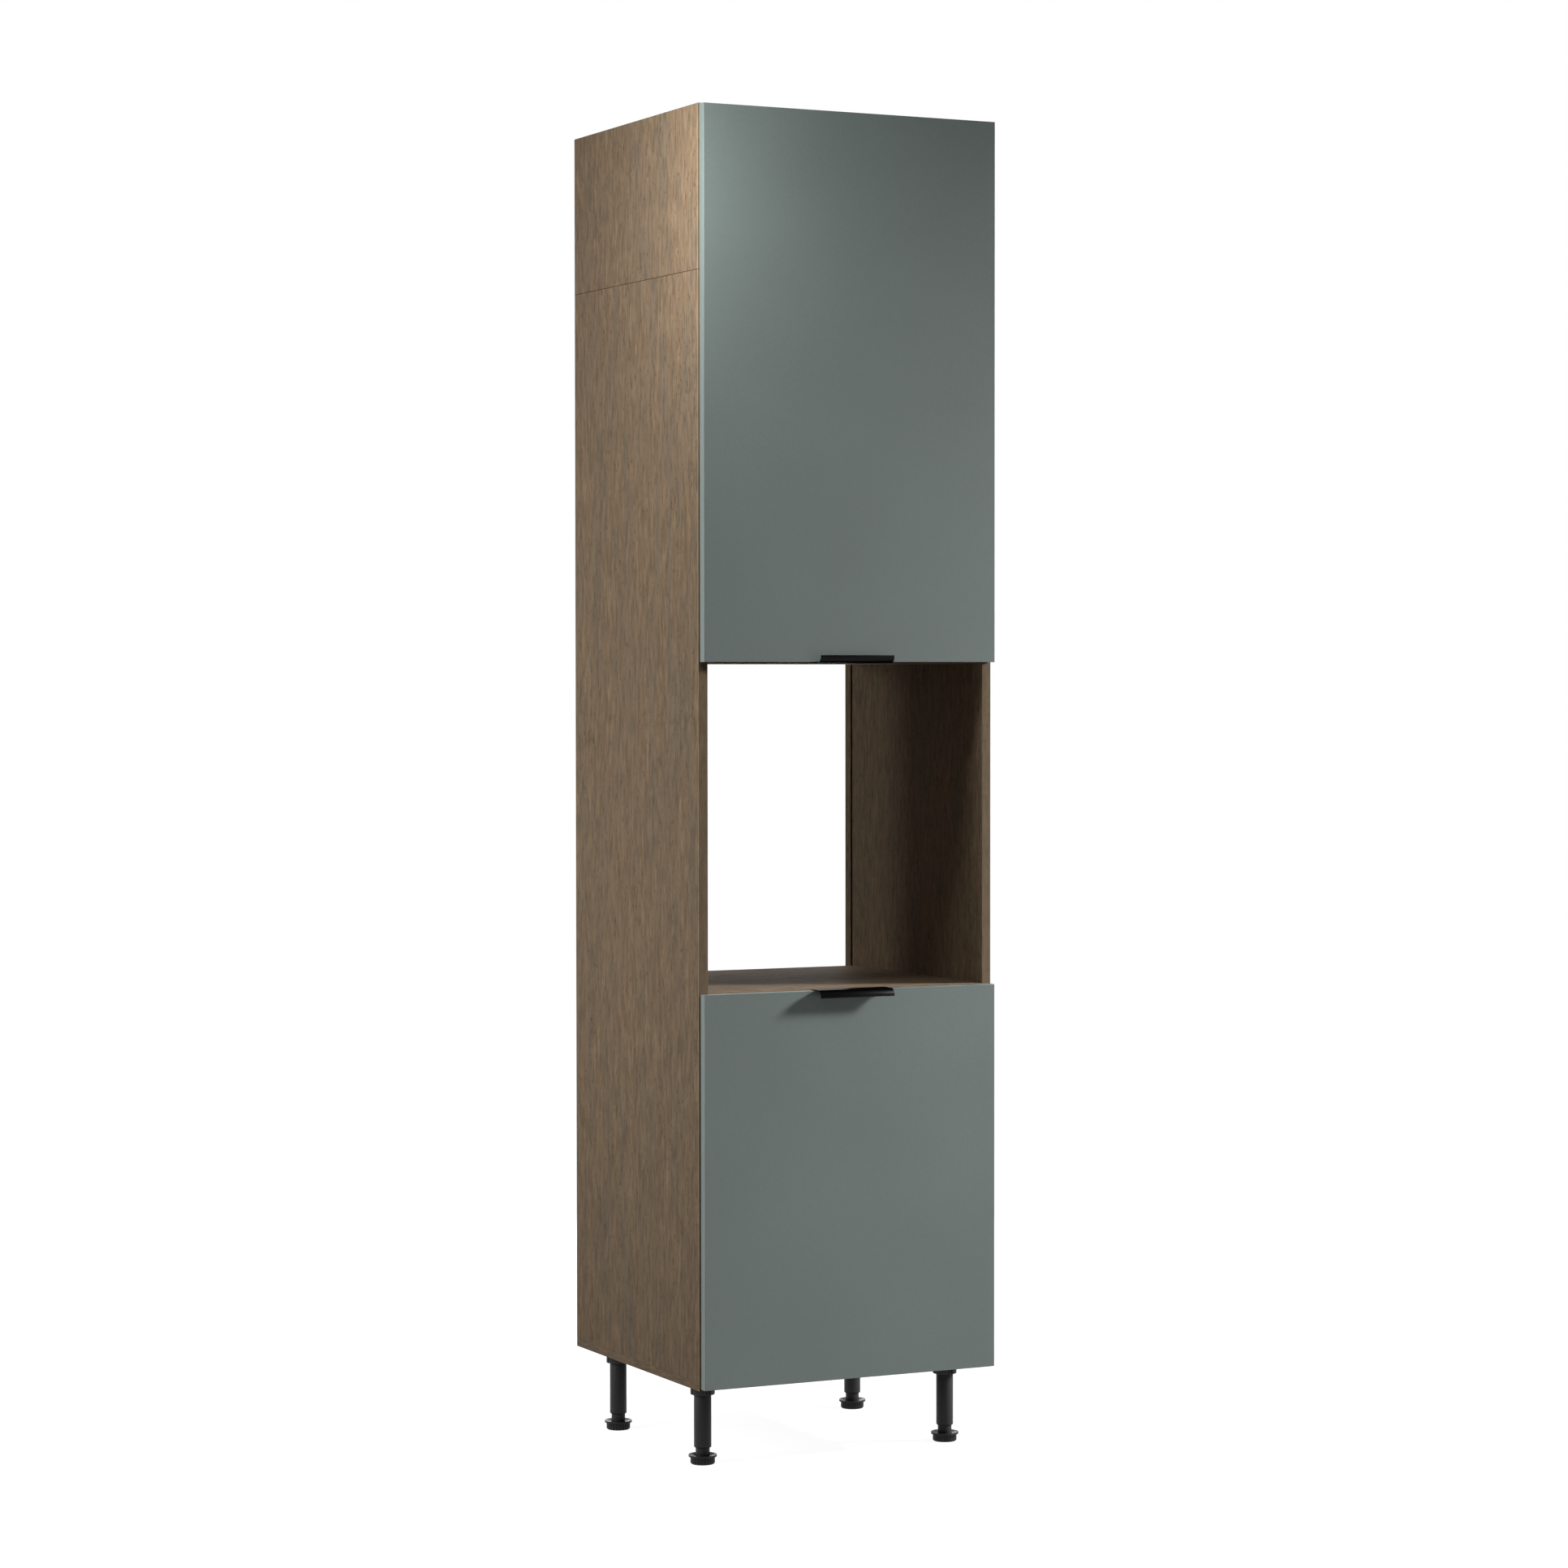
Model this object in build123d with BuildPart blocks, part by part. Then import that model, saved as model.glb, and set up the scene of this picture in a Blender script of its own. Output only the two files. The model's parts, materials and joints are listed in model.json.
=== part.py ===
from build123d import *
from math import atan2, cos, degrees, radians, sin
import os

# A tall kitchen housing for a built-in microwave: a wood-decor carcass on four adjustable legs, with an
# open niche between two cupboards, and two flat doors on concealed hinges along the right side.
# Millimetres. X runs across the front, Y from the front to the back and Z up. The origin is on the floor,
# at the centre of the space that the unit takes up.

os.makedirs("parts", exist_ok=True)

BASE = (Align.CENTER, Align.CENTER, Align.MIN)
LEFT, RIGHT = -1, 1
FORWARD, BACKWARD = (0, -1, 0), (0, 1, 0)
UPWARD, DOWNWARD = (0, 0, 1), (0, 0, -1)

# Carcass
unit_width = 600.0
carcass_depth = 560.0
carcass_height = 2320.0
leg_height = 150.0
niche_floor_height = 720.0  # top of the niche floor above the underside of the carcass
niche_clear_height = 595.0
extension_height = 297.0  # side extensions, from the seam to the top

# Boards
side_board = 18.0
shelf_board = 18.0
bottom_board = 16.0
back_board = 8.0
door_board = 18.0

# Rear grooves that hold the back panels, and the air gap behind the niche boards
groove_inset = 23.0
groove_depth = 8.0
groove_play = 0.2
back_side_play = 0.5
bottom_groove_depth = 6.0
vent_gap = 16.0

# Doors
door_gap = 2.0
door_side_margin = 2.0
lower_door_foot_margin = 4.0
lower_door_head_margin = 1.0
upper_door_foot_margin = 3.0
upper_door_head_margin = 2.0
door_arris = 1.0

# Edge handles
handle_length = 150.0
handle_sheet = 1.5
handle_reach = 24.0  # from the door's face to the front of the lip
handle_drop = 14.0
handle_bend = 12.0
handle_bead = 1.2
handle_flange = 22.0
handle_screw_spacing = 96.0
handle_screw_drop = 13.0

# Adjustable shelves, levels of their undersides above the underside of the carcass
lower_shelf_level = 380.0
upper_shelf_low_level = 1632.0
upper_shelf_high_level = 1950.0
shelf_setback = 25.0
shelf_side_play = 1.0
shelf_rear_play = 2.0
pin_diameter = 5.0
pin_depth = 8.0
pin_head_diameter = 7.0
pin_head_length = 9.0
pin_front_inset = 62.0
pin_rear_inset = 80.0
pin_hole_pitch = 32.0
spare_pin_holes = 2  # above and below each pin

# Cams, bolts and dowels that join the fixed boards to the sides
cam_diameter = 15.0
cam_height = 12.5
cam_end_distance = 34.0
cam_inset = 60.0  # from the board's front and rear edges
cam_slot_length = 9.0
cam_slot_width = 1.6
cam_slot_depth = 2.5
bolt_diameter = 6.0
bolt_hole_diameter = 7.0
bolt_thread_diameter = 5.0
bolt_thread_depth = 11.0
dowel_diameter = 8.0
dowel_length = 30.0
dowel_side_depth = 12.0
dowel_end_play = 0.5
dowel_offset = 32.0  # from the cam bolt
hardware_fit = 0.05  # radial clearance of screws, pins, dowels and cams in their holes

# Screws
screw_head = 7.0
screw_shank = 3.5
screw_length = 14.0
back_screw_length = 30.0
back_screw_spacing = 200.0
bottom_screw_head = 10.0
bottom_screw_shank = 5.0
bottom_screw_length = 50.0
bottom_screw_inset = 60.0

# Seam between the side panels and their extensions
seam_dowel_inset = 70.0
seam_plate_width = 25.0
seam_plate_height = 80.0
seam_plate_sheet = 2.0
seam_plate_inset = 120.0
seam_plate_corner = 4.0
seam_screw_near = 14.0
seam_screw_far = 30.0

# Brackets that tie the unit to the wall
wall_bracket_leg = 30.0
wall_bracket_height = 60.0
wall_bracket_sheet = 2.0
wall_bracket_drop = 30.0  # below the top panel
wall_hole_diameter = 6.5
wall_hole_inset = 18.0
wall_bracket_screw_spacing = 40.0

# Legs
leg_side_inset = 48.0
leg_front_inset = 90.0
leg_rear_inset = 88.0
socket_diameter = 45.0
socket_height = 22.0
socket_bevel = 0.6
socket_web = 4.0
socket_slot_width = 2.4
socket_slot_depth = 2.0
socket_slot_turn = 8.0
peg_diameter = 10.0
peg_length = 12.0
socket_screw_radius = 9.0
tube_diameter = 32.0
tube_foot = 30.0
tube_chamfer = 1.5
tube_socket_depth = 14.0
tube_fit = 0.1
stem_diameter = 26.0
stem_engagement = 50.0
stem_fit = 0.3
foot_diameter = 45.0
foot_height = 12.5
foot_toe = 2.0
flange_diameter = 52.0
flange_top = 17.0
flange_edge = 3.6
flange_rim = 2.5
flange_dish = 3.0
foot_rib_count = 24
foot_groove_radius = 1.4

# Concealed hinges. Their plans are drawn in u, from the door's hinged edge towards the free one, and v,
# from the carcass's front towards the room, and their heights are from the middle of each hinge.
hinge_end_distance = 100.0  # from the middle of a hinge to the door's end
cup_diameter = 35.0
cup_depth = 12.5
cup_centre = 22.5
cup_wall = 0.8
cup_floor = 1.0
cup_flange = 1.0
cup_rim = 19.5
cup_hollow_half = 9.0
cup_pin_seat = 1.6
cup_screw_offset = 9.5
cup_screw_spacing = 45.0
cup_ear = 5.5
link_pin_diameter = 2.4
link_pin_fit = 0.06
link_eye = 2.4
link_sheet = 2.0
outer_link_near = 4.0
outer_link_far = 5.6
inner_link_half = 3.6
arm_near = 6.0
arm_far = 7.6
arm_eye = 2.7
arm_top = 26.3
arm_sheet = 1.8
arm_front = -14.0
arm_rear = -64.0
arm_lip = 5.0
plate_sheet = 2.0
plate_top = 24.5
plate_front = -20.0
plate_rear = -62.0
plate_half = 5.9
plate_screw_line = -37.0
plate_screw_spacing = 32.0
plate_wing = 6.0
arm_screw_lines = (-26.0, -52.0)
arm_screw_head = 6.0
arm_screw_shank = 3.2
arm_screw_length = 8.0

# Pivots of the hinge with the door shut, as (u, v): the links turn on the arm at A and C, and on the
# cup at B and D. The open end of the inner link has a wide eye round the pin at D.
pivot_a = (32.7, -13.0)
pivot_b = (10.5, 4.4)
pivot_c = (34.3, 10.4)
pivot_d = (16.6, 7.5)
outer_link_bend = (16.0, 5.0)
inner_link_bend = (28.5, 9.4)
wide_eye_shift = (0.2, 1.5)
wide_eye_play = 1.6
wide_eye_wall = 1.1

# Bumpers
bumper_diameter = 8.0
bumper_thickness = 1.7
bumper_inset = 15.0

# Overall frame
overall_depth = handle_reach + door_board + door_gap + carcass_depth
door_front = handle_reach - overall_depth / 2
door_rear = door_front + door_board
carcass_front = door_rear + door_gap
carcass_rear = carcass_front + carcass_depth
side_outer = unit_width / 2
side_inner = side_outer - side_board
side_middle = side_outer - side_board / 2
door_edge = side_outer - door_side_margin

# Levels above the floor
carcass_foot = leg_height
carcass_top = carcass_foot + carcass_height
sides_foot = carcass_foot + bottom_board
seam_level = carcass_top - extension_height
niche_floor_top = carcass_foot + niche_floor_height
niche_floor_foot = niche_floor_top - shelf_board
niche_ceiling_foot = niche_floor_top + niche_clear_height
niche_ceiling_top = niche_ceiling_foot + shelf_board
top_panel_foot = carcass_top - shelf_board
lower_door_foot = carcass_foot + lower_door_foot_margin
lower_door_top = niche_floor_top - lower_door_head_margin
upper_door_foot = niche_ceiling_foot + upper_door_foot_margin
upper_door_top = carcass_top - upper_door_head_margin

# Lines of the rear groove
groove_rear = carcass_rear - groove_inset
groove_front = groove_rear - back_board - groove_play
back_rear = groove_front + back_board
back_edge = side_inner + groove_depth - back_side_play
niche_board_rear = groove_front - vent_gap

# Fixed boards: level of the underside, rear edge, and the side that the cams are let into
fixed_boards = {
    "niche_floor": (niche_floor_foot, niche_board_rear, DOWNWARD),
    "niche_ceiling": (niche_ceiling_foot, niche_board_rear, UPWARD),
    "top_panel": (top_panel_foot, groove_front, UPWARD),
}
shelf_levels = {
    "lower_shelf": carcass_foot + lower_shelf_level,
    "upper_shelf_low": carcass_foot + upper_shelf_low_level,
    "upper_shelf_high": carcass_foot + upper_shelf_high_level,
}
leg_places = {
    "front_left": (leg_side_inset - side_outer, carcass_front + leg_front_inset),
    "front_right": (side_outer - leg_side_inset, carcass_front + leg_front_inset),
    "rear_left": (leg_side_inset - side_outer, carcass_rear - leg_rear_inset),
    "rear_right": (side_outer - leg_side_inset, carcass_rear - leg_rear_inset),
}


def save(piece, label):
    """Name a finished piece and write it to its own file."""
    piece.part.label = label
    export_step(piece.part, f"parts/{label}.step")


def slab(x, y, z, mode=Mode.ADD):
    """A rectangular block between pairs of low and high coordinates."""
    with BuildSketch(Plane((0, 0, z[0]))) as outline:
        with Locations(((x[0] + x[1]) / 2, (y[0] + y[1]) / 2)):
            Rectangle(x[1] - x[0], y[1] - y[0])
    extrude(outline.sketch, amount=z[1] - z[0], mode=mode)


def rod(points, direction, diameter, length, mode=Mode.ADD):
    """Round bars from each point along a direction, or the holes for them."""
    if points:
        with Locations([Plane(origin=point, z_dir=direction) for point in points]):
            Cylinder(diameter / 2, length, align=BASE, mode=mode)


def drill(points, direction, diameter, depth):
    """Blind round holes from each point along a direction, with the hardware's clearance."""
    rod(points, direction, diameter + 2 * hardware_fit, depth, mode=Mode.SUBTRACT)


def screws(
    points, direction, length=screw_length, head=screw_head, shank=screw_shank, grow=0.0, mode=Mode.ADD
):
    """Countersunk screws, heads flush at the points, or their holes when grown and subtracted."""
    sink = (head - shank) / 2
    if points:
        with Locations([Plane(origin=point, z_dir=direction) for point in points]):
            Cone(head / 2 + grow, shank / 2 + grow, sink, align=BASE, mode=mode)
            Cylinder(shank / 2 + grow, length + grow, align=BASE, mode=mode)


def screw_holes(points, direction, **sizes):
    """Countersunk holes that take screws() of the same sizes."""
    screws(points, direction, grow=hardware_fit, mode=Mode.SUBTRACT, **sizes)


def outward(side):
    """Direction from the middle of the unit to one of its sides."""
    return (side, 0, 0)


def inward(side):
    """Direction from one side of the unit to its middle."""
    return (-side, 0, 0)


def mirrored(point, plane):
    """A point on the other side of a level plane."""
    return (point[0], point[1], 2 * plane.origin.Z - point[2])


def between(points, foot, head):
    """The points whose level lies between two levels."""
    return [point for point in points if foot < point[2] < head]


# Hinges, all on the right side
hinge_side = RIGHT
hinge_levels = {
    "lower": (lower_door_foot + hinge_end_distance, lower_door_top - hinge_end_distance),
    "upper": (
        upper_door_foot + hinge_end_distance,
        (upper_door_foot + upper_door_top) / 2,
        upper_door_top - hinge_end_distance,
    ),
}
all_hinge_levels = hinge_levels["lower"] + hinge_levels["upper"]
panel_u = door_edge - side_inner


def hinge_plane(level):
    """Plan of a hinge at a level, with u along the sketch's x and v along its y."""
    return Plane(origin=(door_edge, carcass_front, level), x_dir=(-1, 0, 0), z_dir=UPWARD)


def hinge_point(u, v, level):
    """A point of a hinge in the unit's frame."""
    return (door_edge - u, carcass_front - v, level)


def hinge_layer(outline, low, high, mode=Mode.ADD):
    """Extrude a hinge's plan between two heights, and again below the middle if both are above it."""
    extrude(outline.sketch.moved(Location((0, 0, low))), amount=high - low, mode=mode)
    if low > 0:
        extrude(outline.sketch.moved(Location((0, 0, -high))), amount=high - low, mode=mode)


def bar(start, end, width):
    """A strip with round ends between two points of a sketch."""
    run = Vector(end) - Vector(start)
    with Locations((Vector(start) + Vector(end)) / 2):
        SlotCenterToCenter(run.length, width, rotation=degrees(atan2(run.Y, run.X)))


def hinge_pins(pivots, levels, half, grow=0.0, mode=Mode.ADD):
    """Upright pins of the hinges at the given pivots, or their holes when grown and subtracted."""
    points = [hinge_point(u, v, level - half) for u, v in pivots for level in levels]
    rod(points, UPWARD, link_pin_diameter + 2 * grow, 2 * half, mode=mode)


hinge_plate_screw_points = [
    hinge_point(panel_u + plate_sheet, plate_screw_line, level + rise)
    for level in all_hinge_levels
    for rise in (-plate_screw_spacing / 2, plate_screw_spacing / 2)
]
arm_screw = dict(length=arm_screw_length, head=arm_screw_head, shank=arm_screw_shank)
arm_screw_points = [hinge_point(arm_top, v, level) for level in all_hinge_levels for v in arm_screw_lines]


def cup_screw_points(name):
    """Screws of the cups of one door, heads on the flanges."""
    return [
        hinge_point(cup_centre + cup_screw_offset, door_gap - cup_flange, level + rise)
        for level in hinge_levels[name]
        for rise in (-cup_screw_spacing / 2, cup_screw_spacing / 2)
    ]


# Places of the hardware, as points on the faces that it enters


def bolt_points(side, x):
    """Cam bolts of every fixed board, at a distance x from the middle."""
    return [
        (side * x, y, foot + shelf_board / 2)
        for foot, rear, cam_side in fixed_boards.values()
        for y in (carcass_front + cam_inset, rear - cam_inset)
    ]


def dowel_points(side, x):
    """Dowels of every fixed board, beside the cam bolts and towards the middle of the depth."""
    return [
        (side * x, y, foot + shelf_board / 2)
        for foot, rear, cam_side in fixed_boards.values()
        for y in (carcass_front + cam_inset + dowel_offset, rear - cam_inset - dowel_offset)
    ]


def pin_points(side, spare=0):
    """Shelf pins on a side's inner face, with a number of spare holes above and below each."""
    return [
        (side * side_inner, y, level - pin_diameter / 2 + step * pin_hole_pitch)
        for level in shelf_levels.values()
        for y in (carcass_front + pin_front_inset, groove_front - pin_rear_inset)
        for step in range(-spare, spare + 1)
    ]


def seam_dowel_points(side):
    """Dowels in the seam of one side, at the seam's level."""
    middle = (carcass_front + groove_front) / 2
    return [
        (side * side_middle, y, seam_level)
        for y in (carcass_front + seam_dowel_inset, middle, groove_front - seam_dowel_inset)
    ]


def seam_plate_places():
    """Side and depth of each joining plate across the seam."""
    return [
        (side, y)
        for side in (LEFT, RIGHT)
        for y in (carcass_front + seam_plate_inset, groove_front - seam_plate_inset)
    ]


def seam_screw_points(side, x):
    """Screws of the joining plates on one side, at a distance x from the middle."""
    return [
        (side * x, y, seam_level + rise)
        for plate_side, y in seam_plate_places()
        for rise in (-seam_screw_far, -seam_screw_near, seam_screw_near, seam_screw_far)
        if plate_side == side
    ]


bracket_top = top_panel_foot - wall_bracket_drop
bracket_middle = bracket_top - wall_bracket_height / 2
bracket_front = groove_front - wall_bracket_sheet


def bracket_screw_points(side, x):
    """Screws of one wall bracket into the side, at a distance x from the middle."""
    y = groove_front - wall_hole_inset
    return [
        (side * x, y, bracket_middle + rise)
        for rise in (-wall_bracket_screw_spacing / 2, wall_bracket_screw_spacing / 2)
    ]


def wall_hole_points(y):
    """Holes for the wall screws, one in each bracket."""
    return [(side * (side_inner - wall_hole_inset), y, bracket_middle) for side in (LEFT, RIGHT)]


def bottom_screw_points(side):
    """Long screws through the bottom panel into one side's lower edge."""
    middle = (carcass_front + carcass_rear) / 2
    return [
        (side * side_middle, y, carcass_foot)
        for y in (carcass_front + bottom_screw_inset, middle, carcass_rear - bottom_screw_inset)
    ]


bottom_screw = dict(length=bottom_screw_length, head=bottom_screw_head, shank=bottom_screw_shank)
back_screw = dict(length=back_screw_length)
back_screw_points = [
    (x, groove_front + back_board, top_panel_foot + shelf_board / 2)
    for x in (-back_screw_spacing, 0, back_screw_spacing)
]


def socket_screw_points(place):
    """Three screws inside one leg socket, heads on the web's lower face."""
    return [
        (
            place[0] + socket_screw_radius * cos(radians(turn)),
            place[1] + socket_screw_radius * sin(radians(turn)),
            carcass_foot - socket_web,
        )
        for turn in (30, 150, 270)
    ]


# Sides and their extensions
side_levels = {"side_panel": (sides_foot, seam_level), "side_extension": (seam_level, carcass_top)}
for side, hand in ((LEFT, "left"), (RIGHT, "right")):
    for name, (foot, head) in side_levels.items():
        with BuildPart() as side_part:
            slab(sorted((side * side_inner, side * side_outer)), (carcass_front, carcass_rear), (foot, head))
            groove = sorted((side * side_inner, side * (side_inner + groove_depth)))
            slab(groove, (groove_front, groove_rear), (foot, head), mode=Mode.SUBTRACT)
            bolts = between(bolt_points(side, side_inner), foot, head)
            dowels = between(dowel_points(side, side_inner), foot, head)
            pins = between(pin_points(side, spare_pin_holes), foot, head)
            plate_screws = between(seam_screw_points(side, side_inner - seam_plate_sheet), foot, head)
            bracket_screws = between(bracket_screw_points(side, side_inner - wall_bracket_sheet), foot, head)
            drill(bolts, outward(side), bolt_thread_diameter, bolt_thread_depth)
            drill(dowels, outward(side), dowel_diameter, dowel_side_depth)
            drill(pins, outward(side), pin_diameter, pin_depth)
            screw_holes(plate_screws + bracket_screws, outward(side))
            if side == hinge_side:
                screw_holes(between(hinge_plate_screw_points, foot, head), outward(side))
            if name == "side_panel":
                drill(seam_dowel_points(side), DOWNWARD, dowel_diameter, dowel_length / 2)
                screw_holes(bottom_screw_points(side), UPWARD, **bottom_screw)
            else:
                drill(seam_dowel_points(side), UPWARD, dowel_diameter, dowel_length / 2)
        save(side_part, f"{name}_{hand}")

# Bottom panel, under the sides
with BuildPart() as bottom_panel:
    slab((-side_outer, side_outer), (carcass_front, carcass_rear), (carcass_foot, sides_foot))
    groove = (sides_foot - bottom_groove_depth, sides_foot)
    slab((-back_edge, back_edge), (groove_front, groove_rear), groove, mode=Mode.SUBTRACT)
    for side in (LEFT, RIGHT):
        screw_holes(bottom_screw_points(side), UPWARD, **bottom_screw)
    drill([(x, y, carcass_foot) for x, y in leg_places.values()], UPWARD, peg_diameter, peg_length)
    for place in leg_places.values():
        screw_holes(socket_screw_points(place), UPWARD)
save(bottom_panel, "bottom_panel")

# Niche floor, niche ceiling and top panel
for name, (foot, rear, cam_side) in fixed_boards.items():
    cam_face = foot + shelf_board if cam_side == UPWARD else foot
    into_board = DOWNWARD if cam_side == UPWARD else UPWARD
    with BuildPart() as fixed_board:
        slab((-side_inner, side_inner), (carcass_front, rear), (foot, foot + shelf_board))
        for side in (LEFT, RIGHT):
            ends = between(bolt_points(side, side_inner), foot, foot + shelf_board)
            cams = [(side * (side_inner - cam_end_distance), y, cam_face) for x, y, z in ends]
            drill(cams, into_board, cam_diameter, cam_height)
            drill(ends, inward(side), bolt_hole_diameter, cam_end_distance)
            dowels = between(dowel_points(side, side_inner), foot, foot + shelf_board)
            drill(dowels, inward(side), dowel_diameter, dowel_length - dowel_side_depth)
        if name == "top_panel":
            screw_holes(back_screw_points, FORWARD, **back_screw)
    save(fixed_board, name)

# Back panels
with BuildPart() as lower_back_panel:
    levels = (sides_foot - bottom_groove_depth, niche_floor_foot)
    slab((-back_edge, back_edge), (groove_front, back_rear), levels)
save(lower_back_panel, "lower_back_panel")

with BuildPart() as upper_back_panel:
    slab((-back_edge, back_edge), (groove_front, back_rear), (niche_ceiling_top, carcass_top))
    drill(wall_hole_points(groove_front), BACKWARD, wall_hole_diameter, back_board)
    screw_holes(back_screw_points, FORWARD, **back_screw)
save(upper_back_panel, "upper_back_panel")

# Adjustable shelves, resting on four pins each
for name, level in shelf_levels.items():
    with BuildPart() as shelf:
        shelf_edge = side_inner - shelf_side_play
        depth = (carcass_front + shelf_setback, groove_front - shelf_rear_play)
        slab((-shelf_edge, shelf_edge), depth, (level, level + shelf_board))
    save(shelf, name)

with BuildPart() as shelf_pins:
    for side in (LEFT, RIGHT):
        rod(pin_points(side), outward(side), pin_diameter, pin_depth)
        rod(pin_points(side), inward(side), pin_head_diameter, pin_head_length)
    for level in shelf_levels.values():
        over = (level, level + pin_head_diameter)
        slab((-side_inner, side_inner), (carcass_front, groove_front), over, mode=Mode.SUBTRACT)
save(shelf_pins, "shelf_pins")

# Cams, their bolts and the dowels of the fixed boards
with BuildPart() as cam_housings:
    for foot, rear, cam_side in fixed_boards.values():
        cam_face = foot + shelf_board if cam_side == UPWARD else foot
        into_board = DOWNWARD if cam_side == UPWARD else UPWARD
        for side in (LEFT, RIGHT):
            ends = between(bolt_points(side, side_inner), foot, foot + shelf_board)
            cams = [(side * (side_inner - cam_end_distance), y, cam_face) for x, y, z in ends]
            rod(cams, into_board, cam_diameter, cam_height)
            drill(ends, inward(side), bolt_diameter, cam_end_distance)
            with Locations([Plane(origin=cam, z_dir=into_board) for cam in cams]):
                Box(cam_slot_length, cam_slot_width, cam_slot_depth, align=BASE, mode=Mode.SUBTRACT)
                Box(cam_slot_width, cam_slot_length, cam_slot_depth, align=BASE, mode=Mode.SUBTRACT)
save(cam_housings, "cam_housings")

with BuildPart() as cam_bolts:
    for side in (LEFT, RIGHT):
        rod(bolt_points(side, side_inner), outward(side), bolt_thread_diameter, bolt_thread_depth)
        rod(bolt_points(side, side_inner), inward(side), bolt_diameter, cam_end_distance)
save(cam_bolts, "cam_bolts")

with BuildPart() as wood_dowels:
    for side in (LEFT, RIGHT):
        starts = dowel_points(side, side_inner + dowel_side_depth - dowel_end_play)
        rod(starts, inward(side), dowel_diameter, dowel_length - 2 * dowel_end_play)
save(wood_dowels, "wood_dowels")

with BuildPart() as bottom_screws:
    for side in (LEFT, RIGHT):
        screws(bottom_screw_points(side), UPWARD, **bottom_screw)
save(bottom_screws, "bottom_screws")

with BuildPart() as back_panel_screws:
    screws(back_screw_points, FORWARD, **back_screw)
save(back_panel_screws, "back_panel_screws")

# Dowels, joining plates and screws across the seam of the sides
with BuildPart() as seam_dowels:
    for side in (LEFT, RIGHT):
        starts = [(x, y, z + dowel_end_play - dowel_length / 2) for x, y, z in seam_dowel_points(side)]
        rod(starts, UPWARD, dowel_diameter, dowel_length - 2 * dowel_end_play)
save(seam_dowels, "seam_dowels")

with BuildPart() as seam_plates:
    for side, y in seam_plate_places():
        faces = sorted((side * side_inner, side * (side_inner - seam_plate_sheet)))
        width = (y - seam_plate_width / 2, y + seam_plate_width / 2)
        slab(faces, width, (seam_level - seam_plate_height / 2, seam_level + seam_plate_height / 2))
    fillet(seam_plates.edges().filter_by(Axis.X), seam_plate_corner)
    for side in (LEFT, RIGHT):
        screw_holes(seam_screw_points(side, side_inner - seam_plate_sheet), outward(side))
save(seam_plates, "seam_plates")

with BuildPart() as seam_plate_screws:
    for side in (LEFT, RIGHT):
        screws(seam_screw_points(side, side_inner - seam_plate_sheet), outward(side))
save(seam_plate_screws, "seam_plate_screws")

# Brackets in the top rear corners of the upper cupboard
with BuildPart() as wall_brackets:
    for side in (LEFT, RIGHT):
        level = (bracket_top - wall_bracket_height, bracket_top)
        face = sorted((side * side_inner, side * (side_inner - wall_bracket_sheet)))
        slab(face, (groove_front - wall_bracket_leg, groove_front), level)
        face = sorted((side * side_inner, side * (side_inner - wall_bracket_leg)))
        slab(face, (bracket_front, groove_front), level)
        screw_holes(bracket_screw_points(side, side_inner - wall_bracket_sheet), outward(side))
    drill(wall_hole_points(bracket_front), BACKWARD, wall_hole_diameter, wall_bracket_sheet)
save(wall_brackets, "wall_brackets")

with BuildPart() as wall_bracket_screws:
    for side in (LEFT, RIGHT):
        screws(bracket_screw_points(side, side_inner - wall_bracket_sheet), outward(side))
save(wall_bracket_screws, "wall_bracket_screws")

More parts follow.
